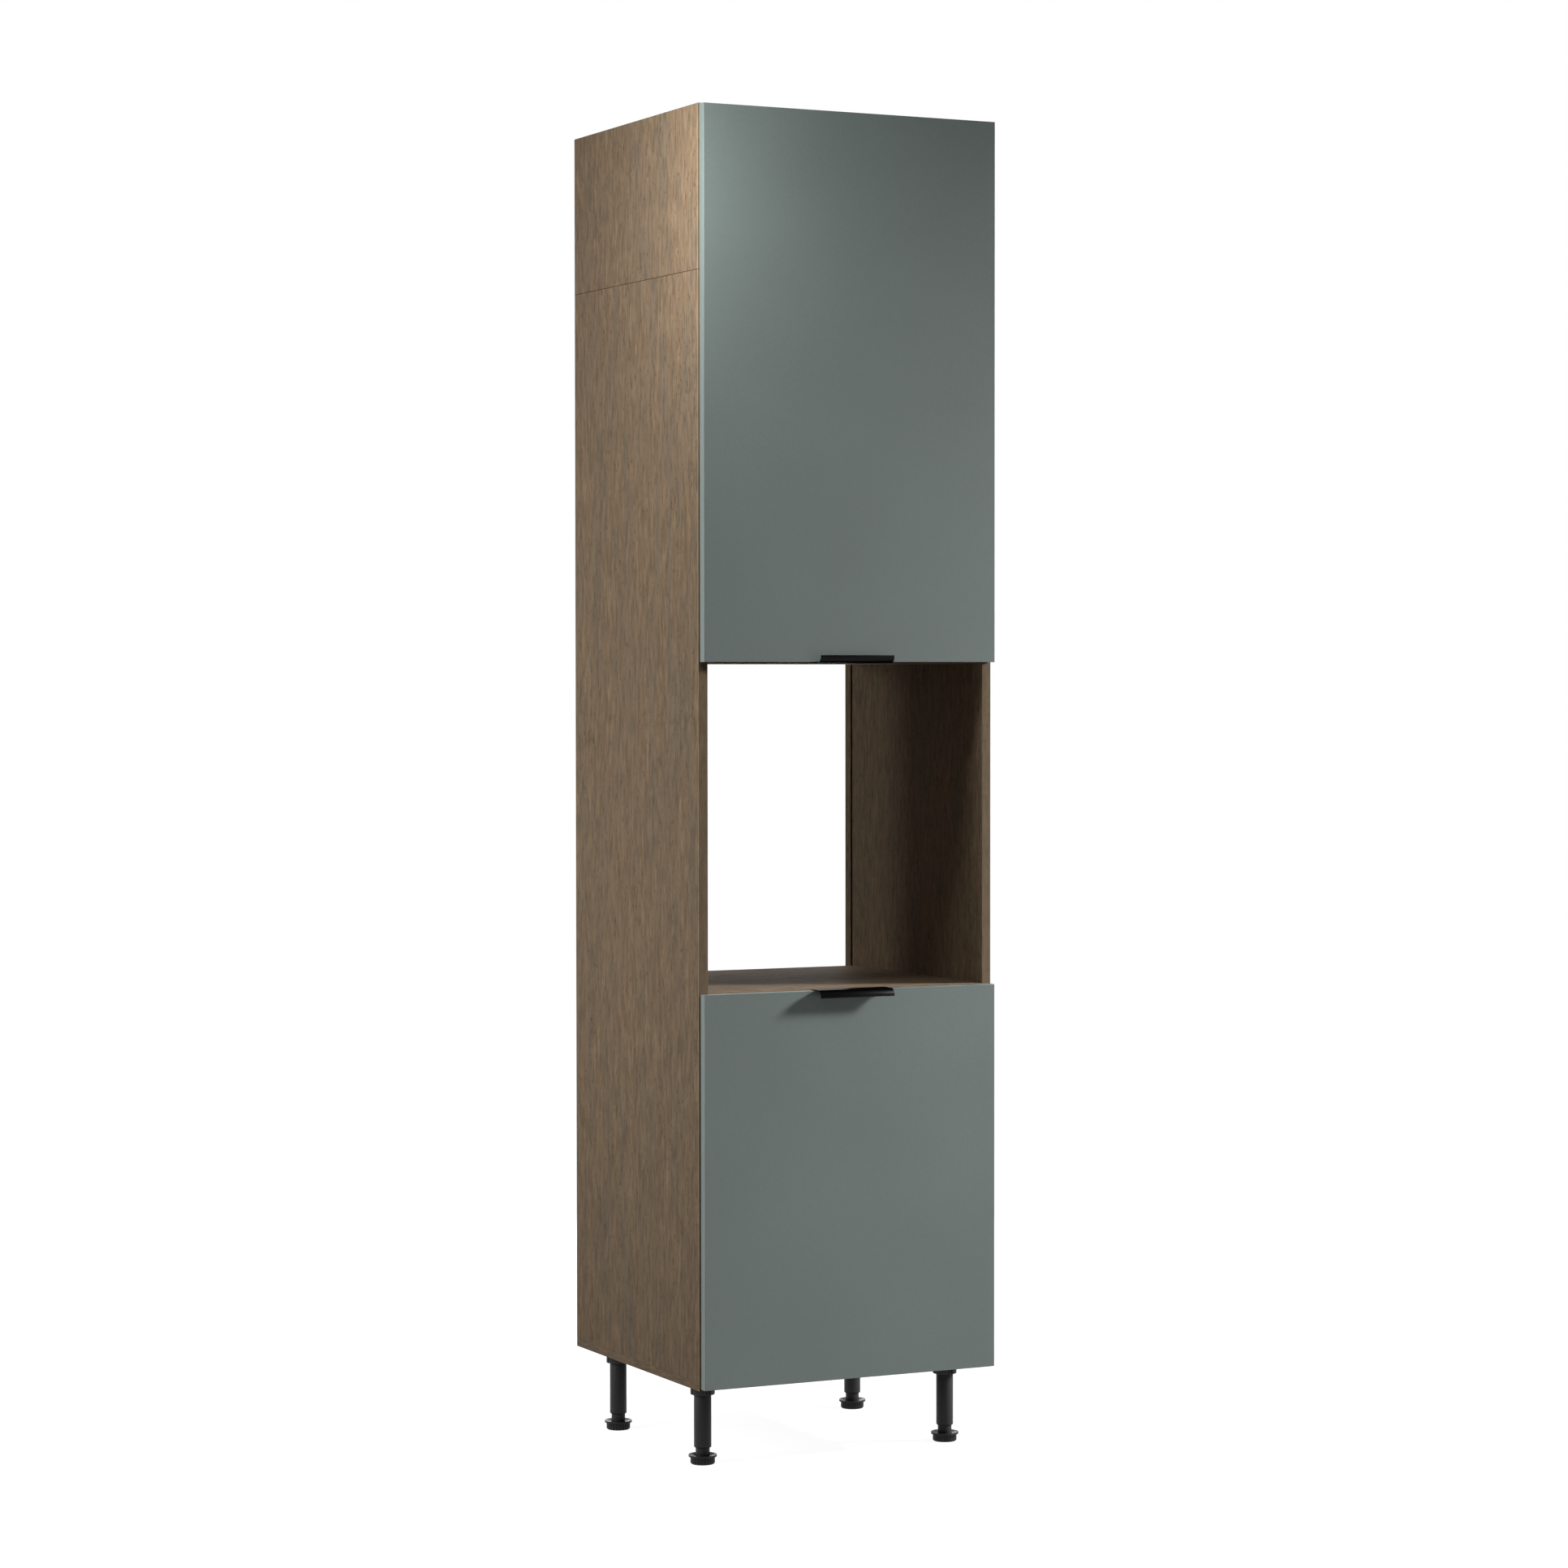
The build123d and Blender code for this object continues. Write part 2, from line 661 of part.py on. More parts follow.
# Legs: a socket under the bottom panel, a tube pushed into it and an adjustable foot
for corner, place in leg_places.items():
    x, y = place
    socket_foot = carcass_foot - socket_height
    tube_top = socket_foot + tube_socket_depth
    with BuildPart() as leg_socket:
        rod([(x, y, socket_foot)], UPWARD, socket_diameter, socket_height)
        chamfer(leg_socket.edges().sort_by(Axis.Z)[0], socket_bevel)
        rod([(x, y, carcass_foot)], UPWARD, peg_diameter, peg_length)
        socket_bore = tube_diameter + 2 * tube_fit
        rod([(x, y, socket_foot)], UPWARD, socket_bore, tube_socket_depth, mode=Mode.SUBTRACT)
        head_space = carcass_foot - socket_web - tube_top
        rod([(x, y, tube_top)], UPWARD, stem_diameter, head_space, mode=Mode.SUBTRACT)
        screw_holes(socket_screw_points(place), UPWARD)
        with BuildSketch(Plane((x, y, socket_foot))):
            for turn in (-socket_slot_turn, socket_slot_turn):
                with PolarLocations(socket_diameter / 2, 4, start_angle=turn):
                    Rectangle(2 * socket_slot_depth, socket_slot_width)
        extrude(amount=socket_height, mode=Mode.SUBTRACT)
    save(leg_socket, f"leg_socket_{corner}")

    with BuildPart() as leg_tube:
        rod([(x, y, tube_foot)], UPWARD, tube_diameter, tube_top - tube_foot)
        chamfer(leg_tube.edges().sort_by(Axis.Z)[0], tube_chamfer)
        tube_bore = stem_diameter + 2 * stem_fit
        rod([(x, y, tube_foot)], UPWARD, tube_bore, tube_top - tube_foot, mode=Mode.SUBTRACT)
    save(leg_tube, f"leg_tube_{corner}")

    with BuildPart() as foot:
        with BuildSketch(Plane(origin=(x, y, 0), x_dir=(1, 0, 0), z_dir=FORWARD)):
            with BuildLine():
                Polyline(
                    (0, 0),
                    (foot_diameter / 2 - foot_toe, 0),
                    (foot_diameter / 2, foot_toe),
                    (foot_diameter / 2, foot_height),
                    (flange_diameter / 2, flange_top - flange_edge),
                    (flange_diameter / 2, flange_top),
                    (flange_diameter / 2 - flange_rim, flange_top),
                    (stem_diameter / 2, flange_top - flange_dish),
                    (stem_diameter / 2, tube_foot + stem_engagement),
                    (0, tube_foot + stem_engagement),
                    close=True,
                )
            make_face()
        revolve(axis=Axis((x, y, 0), UPWARD))
        with BuildSketch(Plane((x, y, 0))):
            with PolarLocations(foot_diameter / 2, foot_rib_count):
                Circle(foot_groove_radius)
        extrude(amount=foot_height, mode=Mode.SUBTRACT)
    save(foot, f"foot_{corner}")

with BuildPart() as leg_socket_screws:
    for place in leg_places.values():
        screws(socket_screw_points(place), UPWARD)
save(leg_socket_screws, "leg_socket_screws")

# Edge handles: rear flange, plate over the door's edge, bend and lip, one section for both
lip_front = door_front - handle_reach
lip_rear = lip_front + handle_sheet
bend_start = lip_front + handle_bend
flange_rear = door_rear + handle_sheet
plate_face = lower_door_top + handle_sheet
bend_end = plate_face - handle_bend
lip_end = plate_face - handle_drop
flange_end = plate_face - handle_flange
handle_screw_points = [
    (x, flange_rear, lower_door_top - handle_screw_drop)
    for x in (-handle_screw_spacing / 2, handle_screw_spacing / 2)
]
with BuildPart() as lower_handle:
    with BuildSketch(Plane(origin=(-handle_length / 2, 0, 0), x_dir=BACKWARD, z_dir=(1, 0, 0))):
        with BuildLine():
            Polyline((bend_start, plate_face), (flange_rear, plate_face), (flange_rear, flange_end))
            Polyline((flange_rear, flange_end), (door_rear, flange_end), (door_rear, lower_door_top))
            Line((door_rear, lower_door_top), (bend_start, lower_door_top))
            CenterArc((bend_start, bend_end), handle_bend - handle_sheet, 90, 90)
            Polyline((lip_rear, bend_end), (lip_rear, lip_end), (lip_front, lip_end), (lip_front, bend_end))
            CenterArc((bend_start, bend_end), handle_bend, 90, 90)
        make_face()
        with Locations((lip_front + handle_bead, lip_end + handle_bead)):
            Circle(handle_bead)
    extrude(amount=handle_length)
    screw_holes(handle_screw_points, FORWARD)
save(lower_handle, "lower_handle")

with BuildPart() as lower_handle_screws:
    screws(handle_screw_points, FORWARD)
save(lower_handle_screws, "lower_handle_screws")

handle_mirror = Plane.XY.offset((lower_door_top + upper_door_foot) / 2)
with BuildPart() as upper_handle:
    mirror(lower_handle.part, about=handle_mirror)
save(upper_handle, "upper_handle")

with BuildPart() as upper_handle_screws:
    mirror(lower_handle_screws.part, about=handle_mirror)
save(upper_handle_screws, "upper_handle_screws")

# Doors, with the hinge cups let into their backs, and the bumpers stuck on them
doors = {"lower": (lower_door_foot, lower_door_top), "upper": (upper_door_foot, upper_door_top)}
for name, (foot, head) in doors.items():
    with BuildPart() as door:
        slab((-door_edge, door_edge), (door_front, door_rear), (foot, head))
        fillet(door.faces().sort_by(Axis.Y)[0].edges(), door_arris)
        if name == "lower":
            screw_holes(handle_screw_points, FORWARD)
        else:
            screw_holes([mirrored(point, handle_mirror) for point in handle_screw_points], FORWARD)
        cup_points = [hinge_point(cup_centre, door_gap, level) for level in hinge_levels[name]]
        drill(cup_points, FORWARD, cup_diameter, cup_depth)
        screw_holes(cup_screw_points(name), FORWARD)
    save(door, f"{name}_door")

    with BuildPart() as bumpers:
        levels = (foot + bumper_inset, head - bumper_inset)
        places = [(bumper_inset - door_edge, door_rear, level) for level in levels]
        rod(places, BACKWARD, bumper_diameter, bumper_thickness)
    save(bumpers, f"{name}_door_bumpers")

# Hinge plates on the right side, and the arms screwed to them
with BuildPart() as hinge_plates:
    for level in all_hinge_levels:
        with BuildSketch(hinge_plane(level)) as rib_plan:
            with Locations(((panel_u + plate_top) / 2, (plate_front + plate_rear) / 2)):
                Rectangle(plate_top - panel_u, plate_front - plate_rear)
        hinge_layer(rib_plan, -plate_half, plate_half)
        wing_middle = hinge_point(panel_u, plate_screw_line, level)
        with BuildSketch(Plane(wing_middle, x_dir=UPWARD, z_dir=inward(hinge_side))) as wings:
            SlotCenterToCenter(plate_screw_spacing, 2 * plate_wing)
        extrude(wings.sketch, amount=plate_sheet)
    screw_holes(hinge_plate_screw_points, outward(hinge_side))
    screw_holes(arm_screw_points, outward(hinge_side), **arm_screw)
save(hinge_plates, "hinge_plates")

with BuildPart() as hinge_plate_screws:
    screws(hinge_plate_screw_points, outward(hinge_side))
save(hinge_plate_screws, "hinge_plate_screws")

with BuildPart() as hinge_arms:
    for level in all_hinge_levels:
        with BuildSketch(hinge_plane(level)) as cheek:
            with Locations(pivot_a, pivot_c):
                Circle(arm_eye)
            with Locations((arm_top - arm_lip / 2, arm_front)):
                Rectangle(arm_lip, 2 * arm_eye)
            make_hull()
            with Locations((arm_top - arm_lip / 2, (arm_front + arm_rear) / 2)):
                Rectangle(arm_lip, arm_front - arm_rear)
        hinge_layer(cheek, arm_near, arm_far)
        with BuildSketch(hinge_plane(level)) as web:
            with Locations((arm_top - arm_sheet / 2, (arm_front + arm_rear) / 2)):
                Rectangle(arm_sheet, arm_front - arm_rear)
        hinge_layer(web, -arm_near, arm_near)
    hinge_pins((pivot_a, pivot_c), all_hinge_levels, arm_far, grow=link_pin_fit, mode=Mode.SUBTRACT)
    screw_holes(arm_screw_points, outward(hinge_side), **arm_screw)
save(hinge_arms, "hinge_arms")

with BuildPart() as hinge_arm_screws:
    screws(arm_screw_points, outward(hinge_side), **arm_screw)
save(hinge_arm_screws, "hinge_arm_screws")

with BuildPart() as hinge_arm_pins:
    hinge_pins((pivot_a, pivot_c), all_hinge_levels, arm_far)
save(hinge_arm_pins, "hinge_arm_pins")

# Cups in the doors, and the links between the cups and the arms
cup_pin_half = cup_hollow_half + cup_pin_seat
wide_eye = (pivot_d[0] + wide_eye_shift[0], pivot_d[1] + wide_eye_shift[1])
wide_eye_radius = link_pin_diameter / 2 + wide_eye_play
for name, levels in hinge_levels.items():
    with BuildPart() as hinge_cups:
        rod([hinge_point(cup_centre, door_gap, level) for level in levels], FORWARD, cup_diameter, cup_depth)
        for level in levels:
            rim_middle = hinge_point(cup_centre, door_gap, level)
            with BuildSketch(Plane(rim_middle, x_dir=inward(hinge_side), z_dir=BACKWARD)) as flange:
                Circle(cup_rim)
                ear_rise = cup_screw_spacing / 2
                with Locations((cup_screw_offset, -ear_rise), (cup_screw_offset, ear_rise)):
                    Circle(cup_ear)
                make_hull()
            extrude(flange.sketch, amount=cup_flange)
            floor_middle = hinge_point(cup_centre, door_gap + cup_depth - cup_floor, level)
            with BuildSketch(Plane(floor_middle, x_dir=inward(hinge_side), z_dir=BACKWARD)) as hollow:
                Circle(cup_diameter / 2 - cup_wall)
                Rectangle(cup_diameter, 2 * cup_hollow_half, mode=Mode.INTERSECT)
            extrude(hollow.sketch, amount=cup_depth, mode=Mode.SUBTRACT)
        hinge_pins((pivot_b, pivot_d), levels, cup_pin_half, grow=link_pin_fit, mode=Mode.SUBTRACT)
        screw_holes(cup_screw_points(name), FORWARD)
    save(hinge_cups, f"{name}_hinge_cups")

    with BuildPart() as cup_pins:
        hinge_pins((pivot_b, pivot_d), levels, cup_pin_half)
    save(cup_pins, f"{name}_cup_pins")

    with BuildPart() as cup_screws:
        screws(cup_screw_points(name), FORWARD)
    save(cup_screws, f"{name}_cup_screws")

    with BuildPart() as outer_links:
        for level in levels:
            with BuildSketch(hinge_plane(level)) as link:
                bar(pivot_a, outer_link_bend, link_sheet)
                bar(outer_link_bend, pivot_b, link_sheet)
                with Locations(pivot_a, pivot_b):
                    Circle(link_eye)
            hinge_layer(link, outer_link_near, outer_link_far)
        hinge_pins((pivot_a, pivot_b), levels, outer_link_far, grow=link_pin_fit, mode=Mode.SUBTRACT)
    save(outer_links, f"{name}_outer_links")

    with BuildPart() as inner_links:
        for level in levels:
            with BuildSketch(hinge_plane(level)) as link:
                bar(pivot_c, inner_link_bend, link_sheet)
                bar(inner_link_bend, wide_eye, link_sheet)
                with Locations(pivot_c):
                    Circle(link_eye)
                with Locations(wide_eye):
                    Circle(wide_eye_radius + wide_eye_wall)
                    Circle(wide_eye_radius, mode=Mode.SUBTRACT)
            hinge_layer(link, -inner_link_half, inner_link_half)
        hinge_pins((pivot_c,), levels, inner_link_half, grow=link_pin_fit, mode=Mode.SUBTRACT)
    save(inner_links, f"{name}_inner_links")
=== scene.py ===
import json
import math

import bmesh
import bpy
from mathutils import Matrix, Vector

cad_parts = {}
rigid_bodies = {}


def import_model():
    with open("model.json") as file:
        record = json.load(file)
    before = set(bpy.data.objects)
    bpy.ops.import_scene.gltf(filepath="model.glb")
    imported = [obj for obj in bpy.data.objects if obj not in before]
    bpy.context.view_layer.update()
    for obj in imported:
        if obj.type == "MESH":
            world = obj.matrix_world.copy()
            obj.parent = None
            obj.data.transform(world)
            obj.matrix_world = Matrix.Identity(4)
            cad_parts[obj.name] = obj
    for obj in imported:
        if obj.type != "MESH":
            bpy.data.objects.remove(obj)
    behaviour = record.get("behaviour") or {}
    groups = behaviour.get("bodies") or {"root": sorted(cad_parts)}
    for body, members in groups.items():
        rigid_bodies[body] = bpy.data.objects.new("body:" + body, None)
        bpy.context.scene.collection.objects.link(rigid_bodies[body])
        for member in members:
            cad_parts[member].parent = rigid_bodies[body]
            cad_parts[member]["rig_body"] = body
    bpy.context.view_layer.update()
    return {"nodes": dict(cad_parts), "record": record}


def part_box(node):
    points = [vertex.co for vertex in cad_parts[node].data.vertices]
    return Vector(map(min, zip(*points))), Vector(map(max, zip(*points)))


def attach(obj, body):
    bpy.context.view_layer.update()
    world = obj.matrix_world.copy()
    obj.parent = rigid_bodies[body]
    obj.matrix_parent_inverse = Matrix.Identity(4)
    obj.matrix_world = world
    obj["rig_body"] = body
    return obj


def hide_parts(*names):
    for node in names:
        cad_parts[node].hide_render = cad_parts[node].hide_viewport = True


# A tall kitchen housing for a built-in microwave, dressed for its picture: oak-decor boards, satin
# lacquered doors, black anodised handles and black plastic legs. Metres, unless a name says mm.

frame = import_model()
nodes = frame["nodes"]
slot_of = {part["node"]: part["material_slot"] for part in frame["record"]["subparts"]}
mm = 0.001
side_low, side_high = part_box("side_panel_left")
front_edge = side_low[1]
joint_level = side_high[2]

# Camera, where the photograph was taken from

camera_place = (-3.379, -6.8658, 1.4462)
camera_yaw = 26.19
camera_pitch = 1.554
camera_roll = -0.05
camera_lens_mm = 93.02
sensor_mm = 36.0

camera = bpy.data.objects.new("camera", bpy.data.cameras.new("camera"))
camera.data.lens = camera_lens_mm
camera.data.sensor_width = sensor_mm
camera.matrix_world = (
    Matrix.Translation(camera_place)
    @ Matrix.Rotation(math.radians(-camera_yaw), 4, "Z")
    @ Matrix.Rotation(math.radians(90 - camera_pitch), 4, "X")
    @ Matrix.Rotation(math.radians(camera_roll), 4, "Z")
)
bpy.context.scene.collection.objects.link(camera)
bpy.context.scene.camera = camera
bpy.context.scene.view_settings.view_transform = "Standard"


def linear(code):
    """An sRGB hex colour as the linear colour that the shaders take."""
    shares = [int(code[place : place + 2], 16) / 255 for place in (1, 3, 5)]
    return tuple(c / 12.92 if c <= 0.04045 else ((c + 0.055) / 1.055) ** 2.4 for c in shares) + (1.0,)


def add(tree, kind, settings=None, inputs=None):
    """Add a node to a tree, set its options, and give its inputs a value or a link. The option stops is
    a ramp's list of levels and sRGB hex colours."""
    node = tree.nodes.new(kind)
    for option, value in (settings or {}).items():
        if option == "stops":
            elements = node.color_ramp.elements
            while len(elements) < len(value):
                elements.new(0.5)
            for element, (level, code) in zip(elements, value):
                element.position = level
                element.color = linear(code)
        else:
            setattr(node, option, value)
    for key, value in (inputs or {}).items():
        if isinstance(value, bpy.types.NodeSocket):
            tree.links.new(value, node.inputs[key])
        else:
            node.inputs[key].default_value = value
    return node


def new_material(name, settings):
    """An empty material with one shader, and the tree and shader to build it on."""
    material = bpy.data.materials.new(name)
    material.use_nodes = True
    tree = material.node_tree
    tree.nodes.clear()
    shader = add(tree, "ShaderNodeBsdfPrincipled", None, settings)
    add(tree, "ShaderNodeOutputMaterial", None, {"Surface": shader.outputs[0]})
    return material, tree, shader


def streaks(tree, vector, across_mm, along_mm, detail=2.0, roughness=0.5):
    """Noise drawn out along Z, from the width and the length of one streak in millimetres."""
    scale = (1000 / across_mm, 1000 / across_mm, 1000 / along_mm)
    stretched = add(tree, "ShaderNodeMapping", None, {"Vector": vector, "Scale": scale}).outputs[0]
    settings = {"Vector": stretched, "Scale": 1.0, "Detail": detail, "Roughness": roughness}
    return add(tree, "ShaderNodeTexNoise", None, settings).outputs["Fac"]


def mottled(tree, first, second, share, stops):
    """Colours by the level of two patterns laid over each other, where share is the second one's."""
    settings = {0: share, 2: first, 3: second}
    level = add(tree, "ShaderNodeMix", {"data_type": "FLOAT"}, settings).outputs[0]
    return add(tree, "ShaderNodeValToRGB", {"stops": stops}, {"Fac": level}).outputs["Color"]


def bumped(tree, shader, height, distance_mm, strength=1.0):
    """Let a pattern raise the surface by a real height."""
    settings = {"Height": height, "Distance": distance_mm * mm, "Strength": strength}
    bump = add(tree, "ShaderNodeBump", None, settings)
    tree.links.new(bump.outputs[0], shader.inputs["Normal"])


# Sawn chipboard shows flakes 2 mm wide, and a thin fibreboard back an even brown felt. The felt's own
# fibres are too fine to show, so they are drawn 1.2 mm wide
chipboard_rear = (2.2, [(0.0, "#7E6543"), (0.35, "#A88B62"), (0.7, "#BC9F74"), (1.0, "#CDB48B")])
fibreboard_rear = (1.2, [(0.0, "#86694A"), (1.0, "#9C7E5B")])

axes = {"X": (1, 0, 0), "Y": (0, 1, 0), "Z": (0, 0, 1)}
turn_to_z = {"X": (0, math.pi / 2, 0), "Y": (math.pi / 2, 0, 0), "Z": (0, 0, 0)}


def grain_line(tree, place, grain, cut):
    """Object coordinates turned so that the grain runs along Z on every face of a board, and swaying."""
    settings = {"Vector": place.outputs["Object"], "Location": cut, "Rotation": turn_to_z[grain]}
    on_face = add(tree, "ShaderNodeMapping", None, settings).outputs[0]
    settings = {"Vector": place.outputs["Object"], "Location": cut, "Rotation": turn_to_z["Y"]}
    on_end = add(tree, "ShaderNodeMapping", None, settings).outputs[0]
    # The bands on the two ends of a board have their grain along the board's depth
    facing = {0: place.outputs["Normal"], 1: axes[grain]}
    turned = add(tree, "ShaderNodeVectorMath", {"operation": "DOT_PRODUCT"}, facing).outputs["Value"]
    square = add(tree, "ShaderNodeMath", {"operation": "MULTIPLY"}, {0: turned, 1: turned}).outputs[0]
    is_end = add(tree, "ShaderNodeMath", {"operation": "GREATER_THAN"}, {0: square, 1: 0.5}).outputs[0]
    settings = {0: is_end, 4: on_face, 5: on_end}
    straight = add(tree, "ShaderNodeMix", {"data_type": "VECTOR"}, settings).outputs[1]
    # The fibres sway by a few millimetres as they rise
    sway_mm = 15.0
    sway_width_mm = 55
    sway_length_mm = 170
    scale = (1000 / sway_width_mm, 1000 / sway_width_mm, 1000 / sway_length_mm)
    slow = add(tree, "ShaderNodeMapping", None, {"Vector": straight, "Scale": scale}).outputs[0]
    sway = add(tree, "ShaderNodeTexNoise", None, {"Vector": slow, "Scale": 1.0, "Detail": 1.5})
    settings = {0: sway.outputs["Color"], 1: (0.5, 0.5, 0.5)}
    centred = add(tree, "ShaderNodeVectorMath", {"operation": "SUBTRACT"}, settings).outputs[0]
    settings = {0: centred, 1: (sway_mm * mm, sway_mm * mm, 0.0), 2: straight}
    return add(tree, "ShaderNodeVectorMath", {"operation": "MULTIPLY_ADD"}, settings).outputs[0]


def oak_decor(name, grain, cut):
    """Melamine-faced chipboard with a printed and lightly pressed oak grain. To the eye it is a dull, dry
    grey-brown with short upright fibres, specks of dark pores in loose files, slow greyer and yellower
    bands, and a slightly lighter glued band along its front edge."""
    material, tree, shader = new_material(name, {"Roughness": 0.7, "Specular IOR Level": 0.05})
    place = add(tree, "ShaderNodeTexCoord")
    line = grain_line(tree, place, grain, cut)

    # Slow bands, greyer and yellower
    bands = streaks(tree, line, 32, 280, 2.0)
    fibres = streaks(tree, line, 8, 46, 2.0, 0.55)
    stops = [(0.34, "#7A6C5B"), (0.46, "#7E6D5A"), (0.56, "#816D57"), (0.68, "#887661")]
    colour = mottled(tree, bands, fibres, 0.35, stops)

    # Fibres, darker and lighter
    threads = streaks(tree, line, 2.6, 24, 2.0, 0.6)
    tones = mottled(tree, fibres, threads, 0.4, [(0.36, "#CDCDCD"), (0.5, "#EAEAEA"), (0.64, "#FFFFFF")])
    settings = {"data_type": "RGBA", "blend_type": "MULTIPLY"}
    colour = add(tree, "ShaderNodeMix", settings, {0: 1.0, 6: colour, 7: tones}).outputs[2]

    # The real pores are 0.3 mm wide. They are drawn at 4 mm, so that they show from a few metres
    pores = streaks(tree, line, 4.0, 13, 1.0)
    files = streaks(tree, line, 22, 130, 1.0)
    settings = {0: files, 1: 0.18, 2: pores}
    crowded = add(tree, "ShaderNodeMath", {"operation": "MULTIPLY_ADD"}, settings).outputs[0]
    settings = {"Value": crowded, "From Min": 0.72, "From Max": 0.80, "To Min": 0.0, "To Max": 0.55}
    pore_share = add(tree, "ShaderNodeMapRange", None, settings).outputs[0]
    settings = {0: pore_share, 6: colour, 7: linear("#46392B")}
    colour = add(tree, "ShaderNodeMix", {"data_type": "RGBA"}, settings).outputs[2]

    # The edge band is 1 mm thick. It is drawn 4 mm wide, so that its line shows
    drawn_band = 4 * mm
    split = add(tree, "ShaderNodeSeparateXYZ", None, {0: place.outputs["Object"]})
    settings = {0: split.outputs["Y"], 1: front_edge + drawn_band}
    banded = add(tree, "ShaderNodeMath", {"operation": "LESS_THAN"}, settings).outputs[0]
    settings = {0: banded, 1: 0.3}
    band_share = add(tree, "ShaderNodeMath", {"operation": "MULTIPLY"}, settings).outputs[0]
    settings = {0: band_share, 6: colour, 7: linear("#A48F74")}
    colour = add(tree, "ShaderNodeMix", {"data_type": "RGBA"}, settings).outputs[2]

    # The joint under a side's extension is 0.3 mm wide. Painted shade: the joint's dark line is drawn 1.6 mm
    # wide, so that it shows
    drawn_joint = 1.6 * mm
    if name.startswith("oak_decor_side"):
        settings = {0: split.outputs["Z"], 1: joint_level, 2: drawn_joint / 2}
        joint = add(tree, "ShaderNodeMath", {"operation": "COMPARE"}, settings).outputs[0]
        settings = {0: joint, 1: 0.6}
        painted_joint_shade = add(tree, "ShaderNodeMath", {"operation": "MULTIPLY"}, settings).outputs[0]
        settings = {0: painted_joint_shade, 6: colour, 7: linear("#241B12")}
        colour = add(tree, "ShaderNodeMix", {"data_type": "RGBA"}, settings).outputs[2]

    # Painted shade: every face that turns to the front, such as the band's own face, is drawn a shade darker
    facing = add(tree, "ShaderNodeSeparateXYZ", None, {0: place.outputs["Normal"]}).outputs["Y"]
    settings = {"Value": facing, "From Min": -0.6, "From Max": -0.9, "To Min": 0.0, "To Max": 0.3}
    painted_front_shade = add(tree, "ShaderNodeMapRange", None, settings).outputs[0]
    settings = {0: painted_front_shade, 6: colour, 7: linear("#2E261D")}
    colour = add(tree, "ShaderNodeMix", {"data_type": "RGBA"}, settings).outputs[2]

    rear = fibreboard_rear if name.endswith("back_panel") else chipboard_rear
    tree.links.new(with_raw_rear(tree, place, colour, *rear), shader.inputs["Base Color"])
    settings = {0: threads, 1: pore_share}
    relief = add(tree, "ShaderNodeMath", {"operation": "SUBTRACT"}, settings).outputs[0]
    bumped(tree, shader, relief, 0.08, 0.6)
    return material


def with_raw_rear(tree, place, colour, flakes_mm, stops):
    """Bare board on the faces that turn to the wall: flakes or fibres of wood pressed in brown glue."""
    split = add(tree, "ShaderNodeSeparateXYZ", None, {0: place.outputs["Normal"]})
    settings = {0: split.outputs["Y"], 1: 0.7}
    faces_wall = add(tree, "ShaderNodeMath", {"operation": "GREATER_THAN"}, settings).outputs[0]
    settings = {"Vector": place.outputs["Object"], "Scale": 1000 / flakes_mm, "Randomness": 1.0}
    flakes = add(tree, "ShaderNodeTexVoronoi", None, settings).outputs["Color"]
    one = add(tree, "ShaderNodeSeparateXYZ", None, {0: flakes}).outputs["X"]
    chips = add(tree, "ShaderNodeValToRGB", {"stops": stops}, {"Fac": one}).outputs["Color"]
    settings = {0: faces_wall, 6: colour, 7: chips}
    return add(tree, "ShaderNodeMix", {"data_type": "RGBA"}, settings).outputs[2]


def satin_lacquer(name):
    """Fibreboard sprayed with a satin grey-green lacquer: a smooth even colour with a broad soft sheen,
    a faint stipple from the spray gun and the slightest drift of tone."""
    settings = {"Roughness": 0.45, "Specular IOR Level": 0.7}
    material, tree, shader = new_material(name, settings)
    place = add(tree, "ShaderNodeTexCoord").outputs["Object"]
    drift = streaks(tree, place, 240, 240, 1.0)
    # The spray's stipple is 0.4 mm. It is drawn at 4 mm, so that it shows at all
    stipple = streaks(tree, place, 4.0, 4.0, 2.0, 0.7)
    colour = mottled(tree, drift, stipple, 0.5, [(0.35, "#616B68"), (0.65, "#67726E")])
    tree.links.new(colour, shader.inputs["Base Color"])
    bumped(tree, shader, stipple, 0.03, 0.35)
    return material


def anodised_aluminium(name):
    """Extruded aluminium, etched and anodised black: deep satin black with hairlines along its length."""
    settings = {"Metallic": 1.0, "Roughness": 0.38, "Specular Tint": linear("#28282A")}
    material, tree, shader = new_material(name, settings)
    place = add(tree, "ShaderNodeTexCoord").outputs["Object"]
    settings = {"Vector": place, "Rotation": turn_to_z["X"]}
    along = add(tree, "ShaderNodeMapping", None, settings).outputs[0]
    hairlines = streaks(tree, along, 0.5, 120, 2.0, 0.6)
    patches = streaks(tree, along, 6, 200, 1.0)
    colour = mottled(tree, hairlines, patches, 0.4, [(0.35, "#161617"), (0.65, "#212122")])
    tree.links.new(colour, shader.inputs["Base Color"])
    bumped(tree, shader, hairlines, 0.01, 0.4)
    return material


def moulded_plastic(name, dark, light, roughness, specular):
    """Injection-moulded polypropylene from a spark-eroded tool: matt with a fine leathery grain."""
    settings = {"Roughness": roughness, "Specular IOR Level": specular}
    material, tree, shader = new_material(name, settings)
    place = add(tree, "ShaderNodeTexCoord").outputs["Object"]
    leather = streaks(tree, place, 0.9, 0.9, 3.0, 0.6)
    flow = streaks(tree, place, 14, 60, 1.0)
    colour = mottled(tree, leather, flow, 0.4, [(0.35, dark), (0.65, light)])
    tree.links.new(colour, shader.inputs["Base Color"])
    bumped(tree, shader, leather, 0.03, 0.5)
    return material


